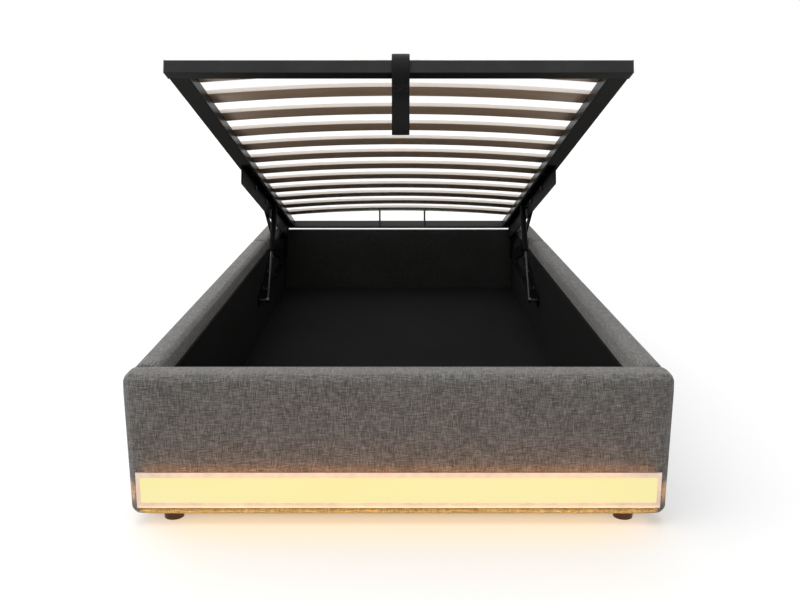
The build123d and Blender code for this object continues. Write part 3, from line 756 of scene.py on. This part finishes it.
def startTree(name, inputs):
    # inputs has the name, the socket type and the first value of each
    tree = bpy.data.node_groups.new(name, "GeometryNodeTree")
    tree.interface.new_socket(name="Geometry", in_out="OUTPUT", socket_type="NodeSocketGeometry")
    tree.interface.new_socket(name="Geometry", in_out="INPUT", socket_type="NodeSocketGeometry")
    ids = {}
    for label, kind, value in inputs:
        socket = tree.interface.new_socket(name=label, in_out="INPUT", socket_type="NodeSocket" + kind)
        if value is not None:
            socket.default_value = value
        ids[label] = socket.identifier
    return tree, ids


def addNode(tree, kind, feeds, **settings):
    # feeds gives an input its value, or the socket that it is joined to
    item = tree.nodes.new(kind)
    for name, value in settings.items():
        setattr(item, name, value)
    for socket, value in feeds.items():
        feed(tree, item.inputs[socket], value)
    return item


def finishTree(tree, copies, material):
    real = addNode(tree, "GeometryNodeRealizeInstances", {"Geometry": copies.outputs["Instances"]})
    finish = addNode(tree, "GeometryNodeSetMaterial",
                     {"Geometry": real.outputs["Geometry"], "Material": material})
    addNode(tree, "NodeGroupOutput", {"Geometry": finish.outputs["Geometry"]})


def runTree(item, label, tree, ids, values):
    # a modifier's input goes by its socket's identifier
    modifier = item.modifiers.new(label, "NODES")
    modifier.node_group = tree
    for name, value in values.items():
        modifier[ids[name]] = value
    applyModifiers(item)


def slatTree():
    tree, ids = startTree("bowedSlats", (
        ("Count", "Int", 12), ("Pitch", "Vector", (0, 0.1, 0)), ("First Slat", "Vector", (0, 0, 0)),
        ("Length", "Float", slat["length"]), ("Rise", "Float", slat["rise"]),
        ("Width", "Float", slat["width"]), ("Thickness", "Float", slat["thickness"]),
        ("Edge Radius", "Float", slat["edge"]), ("Tilt", "Vector", (0, 0, 0)),
        ("Material", "Material", None)))
    given = tree.nodes.new("NodeGroupInput").outputs

    left, right = (addNode(tree, "ShaderNodeCombineXYZ", {"X": times(tree, given["Length"], side)})
                   for side in (-0.5, 0.5))
    middle = addNode(tree, "ShaderNodeCombineXYZ", {"Z": given["Rise"]})
    bow = addNode(tree, "GeometryNodeCurveArc",
                  {"Resolution": slat["steps"], "Start": left.outputs[0], "Middle": middle.outputs[0],
                   "End": right.outputs[0]}, mode="POINTS")
    level = addNode(tree, "GeometryNodeSetCurveNormal", {"Curve": bow.outputs["Curve"]}, mode="Z_UP")

    section = addNode(tree, "GeometryNodeCurvePrimitiveQuadrilateral",
                      {"Width": given["Width"], "Height": given["Thickness"]})
    rounded = addNode(tree, "GeometryNodeFilletCurve",
                      {"Curve": section.outputs["Curve"], "Radius": given["Edge Radius"],
                       "Count": slat["edgeSteps"]}, mode="POLY")
    place = tree.nodes.new("GeometryNodeInputPosition")
    ply = addNode(tree, "GeometryNodeStoreNamedAttribute",
                  {"Geometry": rounded.outputs["Curve"], "Name": "plyHeight",
                   "Value": axes(tree, place.outputs[0])["Y"]}, data_type="FLOAT", domain="POINT")
    strip = addNode(tree, "GeometryNodeCurveToMesh",
                    {"Curve": level.outputs["Curve"], "Profile Curve": ply.outputs["Geometry"],
                     "Fill Caps": True})

    row = addNode(tree, "GeometryNodeMeshLine",
                  {"Count": given["Count"], "Start Location": given["First Slat"], "Offset": given["Pitch"]},
                  mode="OFFSET")
    turned = addNode(tree, "FunctionNodeEulerToRotation", {0: given["Tilt"]})
    copies = addNode(tree, "GeometryNodeInstanceOnPoints",
                     {"Points": row.outputs["Mesh"], "Instance": strip.outputs["Mesh"],
                      "Rotation": turned.outputs[0]})
    finishTree(tree, copies, given["Material"])
    return tree, ids


def boxCentre(node):
    low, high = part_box(node)
    return Vector([(a + b) / 2 for a, b in zip(low, high)])


def makeSlats():
    names = sorted(slatNodes)
    first, last = boxCentre(names[0]), boxCentre(names[-1])
    pitch = (last - first) / (len(names) - 1)
    tilt = math.atan2(pitch.z, pitch.y)
    # the box's middle is half the rise above the line through the strip's ends
    start = first - Matrix.Rotation(tilt, 3, "X") @ Vector((0, 0, slat["rise"] / 2))
    item = putMesh("slatSet", bpy.data.meshes.new("slatSet"))
    tree, ids = slatTree()
    runTree(item, "slats", tree, ids, {
        "Count": len(names), "Pitch": pitch, "First Slat": start, "Length": slat["length"],
        "Rise": slat["rise"], "Width": slat["width"], "Thickness": slat["thickness"],
        "Edge Radius": slat["edge"], "Tilt": Vector((tilt, 0, 0)), "Material": materials["slat"]})
    smoothShade(item, 30)
    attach(item, "lift_frame")
    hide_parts(*names)
    print("slats:", len(names), "faces", len(item.data.polygons))


makeSlats()


# pull strap: one length of webbing round the front tube, sewn flat, with a loop for the hand

strap = {"width": 34.5 * mm, "thickness": 2 * mm, "ring": 24.35 * mm, "ringFrom": -70, "ringTo": 250,
         "hand": 12 * mm, "loop": 78 * mm, "reach": 125 * mm, "slack": 4.5 * mm, "step": 1.6 * mm,
         "seamGap": 5 * mm, "neckOut": 0.62, "neckUp": 0.75, "pressed": 0.0875 * mm,
         "stitch": 3.2 * mm, "thread": 0.45 * mm, "threadShare": 0.72, "seamInset": 3.5 * mm,
         "stitchGap": 6 * mm, "sunk": 0.05 * mm,
         # half the webbing's section: place across, and share of the thickness there
         "section": ((-1, 0.3), (-0.94, 0.75), (-0.6, 1), (0, 1), (0.6, 1), (0.94, 0.75), (1, 0.3))}


def tubeAxis():
    # middle of the front tube, from its box
    low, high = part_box("front_tube")
    return (low[1] + high[1]) / 2, (low[2] + high[2]) / 2


def strapPath(axisY, axisZ):
    # middle line of the webbing in the side view, closed, as (y, z)
    ply, hand = strap["thickness"] / 2, strap["hand"]
    bottom = axisZ - strap["reach"] + hand + ply
    loopTop = bottom + strap["loop"] - 2 * (hand + ply)
    sewnLow = loopTop + hand + strap["seamGap"]
    sewnHigh = axisZ - strap["ring"] - strap["seamGap"]
    neckOut, neckTop = hand * strap["neckOut"], loopTop + hand * strap["neckUp"]
    corners = []
    for turn in range(strap["ringFrom"], strap["ringTo"] + 1, 10):
        angle = math.radians(turn)
        ring = strap["ring"] + strap["slack"] * max(0, math.sin(angle)) ** 3  # loose over the tube
        corners.append((axisY + ring * math.cos(angle), axisZ + ring * math.sin(angle)))
    corners += [(axisY - ply, sewnHigh), (axisY - ply, sewnLow), (axisY - neckOut, neckTop),
                (axisY - hand, loopTop)]
    for turn in range(180, 361, 15):
        angle = math.radians(turn)
        corners.append((axisY + hand * math.cos(angle), bottom + hand * math.sin(angle)))
    corners += [(axisY + hand, loopTop), (axisY + neckOut, neckTop), (axisY + ply, sewnLow),
                (axisY + ply, sewnHigh)]
    return corners


def evenSteps(corners, step):
    # closed line resampled to even steps
    count = len(corners)
    lengths = [math.dist(corners[i], corners[(i + 1) % count]) for i in range(count)]
    total = sum(lengths)
    pieces = round(total / step)
    points, index, passed = [], 0, 0.0
    for number in range(pieces):
        goal = total * number / pieces
        while passed + lengths[index] < goal:
            passed += lengths[index]
            index += 1
        share = (goal - passed) / lengths[index]
        a, b = corners[index], corners[(index + 1) % count]
        points.append((a[0] + share * (b[0] - a[0]), a[1] + share * (b[1] - a[1])))
    return points, total


def makeStrap():
    low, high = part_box("pull_strap")
    middleX = (low[0] + high[0]) / 2
    axisY, axisZ = tubeAxis()
    points, total = evenSteps(strapPath(axisY, axisZ), strap["step"])
    count = len(points)
    half, thick = strap["width"] / 2, strap["thickness"] / 2 - strap["pressed"]
    section = [(across * half, thick * share) for across, share in strap["section"]]
    ring = section + [(x, -z) for x, z in reversed(section)]
    around = len(ring)
    vertices, faces, cloth = [], [], []
    for number in range(count):
        before, here, after = points[number - 1], points[number], points[(number + 1) % count]
        dy, dz = after[0] - before[0], after[1] - before[1]
        size = math.hypot(dy, dz)
        ny, nz = dz / size, -dy / size
        for x, rise in ring:
            vertices.append((middleX + x, here[0] + ny * rise, here[1] + nz * rise))
    for number in range(count):
        nextRow = (number + 1) % count
        v0, v1 = total * number / count, total * (number + 1) / count
        for k in range(around):
            after = (k + 1) % around
            faces.append((number * around + k, number * around + after,
                          nextRow * around + after, nextRow * around + k))
            u0, u1 = ring[k][0], ring[after][0]
            cloth += [(u0, v0), (u1, v0), (u1, v1), (u0, v1)]
    item = meshFrom("pullStrapWebbing", vertices, faces, materials["webbing"])
    layer = item.data.uv_layers.new(name="cloth")
    for loop, place in zip(layer.data, cloth):
        loop.uv = place
    build = bmesh.new()
    build.from_mesh(item.data)
    bmesh.ops.recalc_face_normals(build, faces=build.faces)
    build.to_mesh(item.data)
    build.free()
    smoothShade(item, 50)
    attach(item, "pull_strap_body")
    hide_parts("pull_strap")
    makeStrapStitches(middleX, axisY, axisZ)
    print("pull strap: faces", len(faces), "webbing length", round(total, 3))


def stitchTree():
    tree, ids = startTree("stitchRow", (
        ("Stitch Length", "Float", strap["stitch"]), ("Thread Radius", "Float", strap["thread"]),
        ("Thread Share", "Float", strap["threadShare"]), ("Material", "Material", None)))
    given = tree.nodes.new("NodeGroupInput").outputs
    line = addNode(tree, "GeometryNodeMeshToCurve", {"Mesh": given["Geometry"]})
    steps = addNode(tree, "GeometryNodeCurveToPoints",
                    {"Curve": line.outputs["Curve"], "Length": given["Stitch Length"]}, mode="LENGTH")
    ball = addNode(tree, "GeometryNodeMeshUVSphere", {"Segments": 6, "Rings": 4, "Radius": 1})
    reach = times(tree, given["Stitch Length"], given["Thread Share"])
    size = addNode(tree, "ShaderNodeCombineXYZ",
                   {"X": given["Thread Radius"], "Y": given["Thread Radius"],
                    "Z": times(tree, reach, 0.5)})
    copies = addNode(tree, "GeometryNodeInstanceOnPoints",
                     {"Points": steps.outputs["Points"], "Instance": ball.outputs["Mesh"],
                      "Rotation": steps.outputs["Rotation"], "Scale": size.outputs[0]})
    finishTree(tree, copies, given["Material"])
    return tree, ids


def makeStrapStitches(middleX, axisY, axisZ):
    # a sewn box with a cross, on both faces of the doubled part
    ply = strap["thickness"]
    loopTop = axisZ - strap["reach"] + strap["loop"] - strap["hand"] - ply / 2
    low = loopTop + strap["hand"] + strap["stitchGap"]
    high = axisZ - strap["ring"] - strap["stitchGap"]
    side = strap["width"] / 2 - strap["seamInset"]
    points = []  # two for each line of thread
    for face in (-1, 1):
        y = axisY + face * (ply - strap["sunk"])
        a, b, c, d = ((middleX + x * side, y, z) for x, z in ((-1, low), (1, low), (1, high), (-1, high)))
        points += [a, b, b, c, c, d, d, a, a, c, b, d]
    mesh = bpy.data.meshes.new("pullStrapStitches")
    mesh.from_pydata(points, [(i, i + 1) for i in range(0, len(points), 2)], [])
    item = putMesh("pullStrapStitches", mesh)
    tree, ids = stitchTree()
    runTree(item, "stitches", tree, ids, {
        "Stitch Length": strap["stitch"], "Thread Radius": strap["thread"],
        "Thread Share": strap["threadShare"], "Material": materials["thread"]})
    smoothShade(item, 60)
    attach(item, "pull_strap_body")


makeStrap()


# camera at the photograph's place

view = {"distance": 1.675, "height": 0.811, "pitch": 12.61, "lens": 43.29, "shift": 0.00175}


def makeCamera():
    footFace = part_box("footboard_cover")[0][1]
    data = bpy.data.cameras.new("camera")
    camera = bpy.data.objects.new("camera", data)
    scene.collection.objects.link(camera)
    camera.location = (0, footFace - view["distance"], view["height"])
    camera.rotation_euler = (math.radians(90 - view["pitch"]), 0, 0)
    data.lens = view["lens"]
    data.sensor_width = 36
    data.shift_x = view["shift"]
    data.clip_start = 0.01
    scene.camera = camera


makeCamera()


# floor, white surround and studio light

studio = {"floor": (0.5, 0.5, 0.5), "floorReach": 60, "white": 1.0, "lift": 0.43, "world": 0.5,
          "dome": 3.1, "domeAngle": 95, "front": 0.29, "frontAngle": 25,
          "floorGlow": 0.03, "frontGlow": 0.25, "underGlow": 0.09, "upperGlow": 0.1, "lowerGlow": 0.15,
          "endGlow": 0.0045, "strip": 0.006, "stripSpread": 48,
          "paintedPool": (1.0, 0.91, 0.79), "poolNear": (1.22, 0.93, 0.6), "poolFrom": 0.32, "poolTo": 0.56,
          "poolReach": 0.58, "poolUnder": 0.25, "poolEdge": 0.02, "nearReach": 0.13}


def seenStrength(tree, strength):
    # full strength to the camera, in mirrors and through glass, nothing on the object
    path = tree.nodes.new("ShaderNodeLightPath")
    seen = combine(tree, "MAXIMUM", path.outputs["Is Camera Ray"], path.outputs["Is Glossy Ray"])
    seen = combine(tree, "MAXIMUM", seen, path.outputs["Is Transmission Ray"])
    return times(tree, seen, strength)


def makeFloor():
    r = studio["floorReach"]
    floor = meshFrom("studioFloor", [(-r, -r, 0), (r, -r, 0), (r, r, 0), (-r, r, 0)], [(0, 1, 2, 3)])
    material, tree, shader = startMaterial("studioFloor")
    setValues(shader, {"Base Color": (*studio["floor"], 1), "Roughness": 0.9, "Specular IOR Level": 0.1})
    # painted light: the floor's emission is tinted warm where the panel would light it, most near the base's
    # front and under it
    front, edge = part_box("light_bezel")[0][1], studio["poolEdge"]
    x, y = axes(tree, objectPlace(tree))[:2]
    aside = combine(tree, "ABSOLUTE", x)
    across = fade(tree, aside, studio["poolFrom"], studio["poolTo"], 1, 0)
    before = fade(tree, y, front - studio["poolReach"], front - edge, 0, 1)
    under = fade(tree, y, front + edge, front + studio["poolUnder"], 1, 0)
    paintedPool = times(tree, across, times(tree, before, under))
    away = combine(tree, "ABSOLUTE", combine(tree, "SUBTRACT", y, front))
    near = times(tree, across, fade(tree, away, 0, studio["nearReach"], 1, 0))
    warm = blendColour(tree, paintedPool, (1, 1, 1), studio["paintedPool"])
    tree.links.new(blendColour(tree, near, warm, studio["poolNear"]), shader.inputs["Emission Color"])
    tree.links.new(seenStrength(tree, studio["lift"]), shader.inputs["Emission Strength"])
    floor.data.materials.append(material)


def makeWorld():
    world = bpy.data.worlds.new("studio")
    world.use_nodes = True
    scene.world = world
    tree = world.node_tree
    background = tree.nodes["Background"]
    background.inputs["Color"].default_value = (1, 1, 1, 1)
    strength = combine(tree, "MAXIMUM", seenStrength(tree, studio["white"]), studio["world"])
    tree.links.new(strength, background.inputs["Strength"])


def areaLight(name, place, target, size, power, colour=(1, 1, 1), spread=180):
    data = bpy.data.lights.new(name, "AREA")
    data.shape = "RECTANGLE"
    data.size, data.size_y = size
    data.energy = power
    data.color = colour
    data.spread = math.radians(spread)
    lamp = bpy.data.objects.new(name, data)
    scene.collection.objects.link(lamp)
    lamp.location = place
    lamp.rotation_euler = (Vector(target) - Vector(place)).to_track_quat("-Z", "Y").to_euler()
    lamp.visible_camera = False


def sunLight(name, direction, strength, angle):
    data = bpy.data.lights.new(name, "SUN")
    data.energy = strength
    data.angle = math.radians(angle)
    lamp = bpy.data.objects.new(name, data)
    scene.collection.objects.link(lamp)
    lamp.rotation_euler = Vector(direction).to_track_quat("-Z", "Y").to_euler()


def makeLights():
    # a wide dome of light from above and behind, and a softer one from the camera's side
    sunLight("domeLight", (0.5, -0.3, -1), studio["dome"], studio["domeAngle"])
    sunLight("frontLight", (0.1, 1, -0.22), studio["front"], studio["frontAngle"])

    # what the panel throws on the floor, under the base, and on the cloth above and below it
    low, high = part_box("light_bezel")
    face, length, strip = low[1], (high[0] - low[0]) * 0.97, studio["strip"]
    areaLight("floorGlow", (0, face - 0.015, 0.07), (0, face - 0.6, -0.12), (length, 0.06),
              studio["floorGlow"], glow["onFloor"])
    areaLight("frontGlow", (0, face - 0.11, 0.05), (0, face, 0.14), (length, 0.04),
              studio["frontGlow"], glow["onCloth"])
    areaLight("underGlow", (0, face + 0.02, 0.018), (0, face + 0.02, 0), (length, 0.05),
              studio["underGlow"], glow["underBase"])
    areaLight("upperGlow", (0, face - 0.008, high[2] + 0.001), (0, face - 0.004, high[2] + 0.021),
              (length, strip), studio["upperGlow"], glow["onCloth"])
    areaLight("lowerGlow", (0, face - 0.022, low[2] - 0.014), (0, face, low[2] - 0.008),
              (length * 1.02, strip), studio["lowerGlow"], glow["onHem"], studio["stripSpread"])
    middle = low[2] + (high[2] - low[2]) * 0.42
    for name, side in (("leftEndGlow", -1), ("rightEndGlow", 1)):
        end = side * (high[0] + 0.009)
        areaLight(name, (end, face - 0.022, middle), (end, face, middle), (0.004, (high[2] - low[2]) * 0.5),
                  studio["endGlow"], glow["onEnds"], studio["stripSpread"])


makeFloor()
makeWorld()
makeLights()
print("stage, camera and lights made")
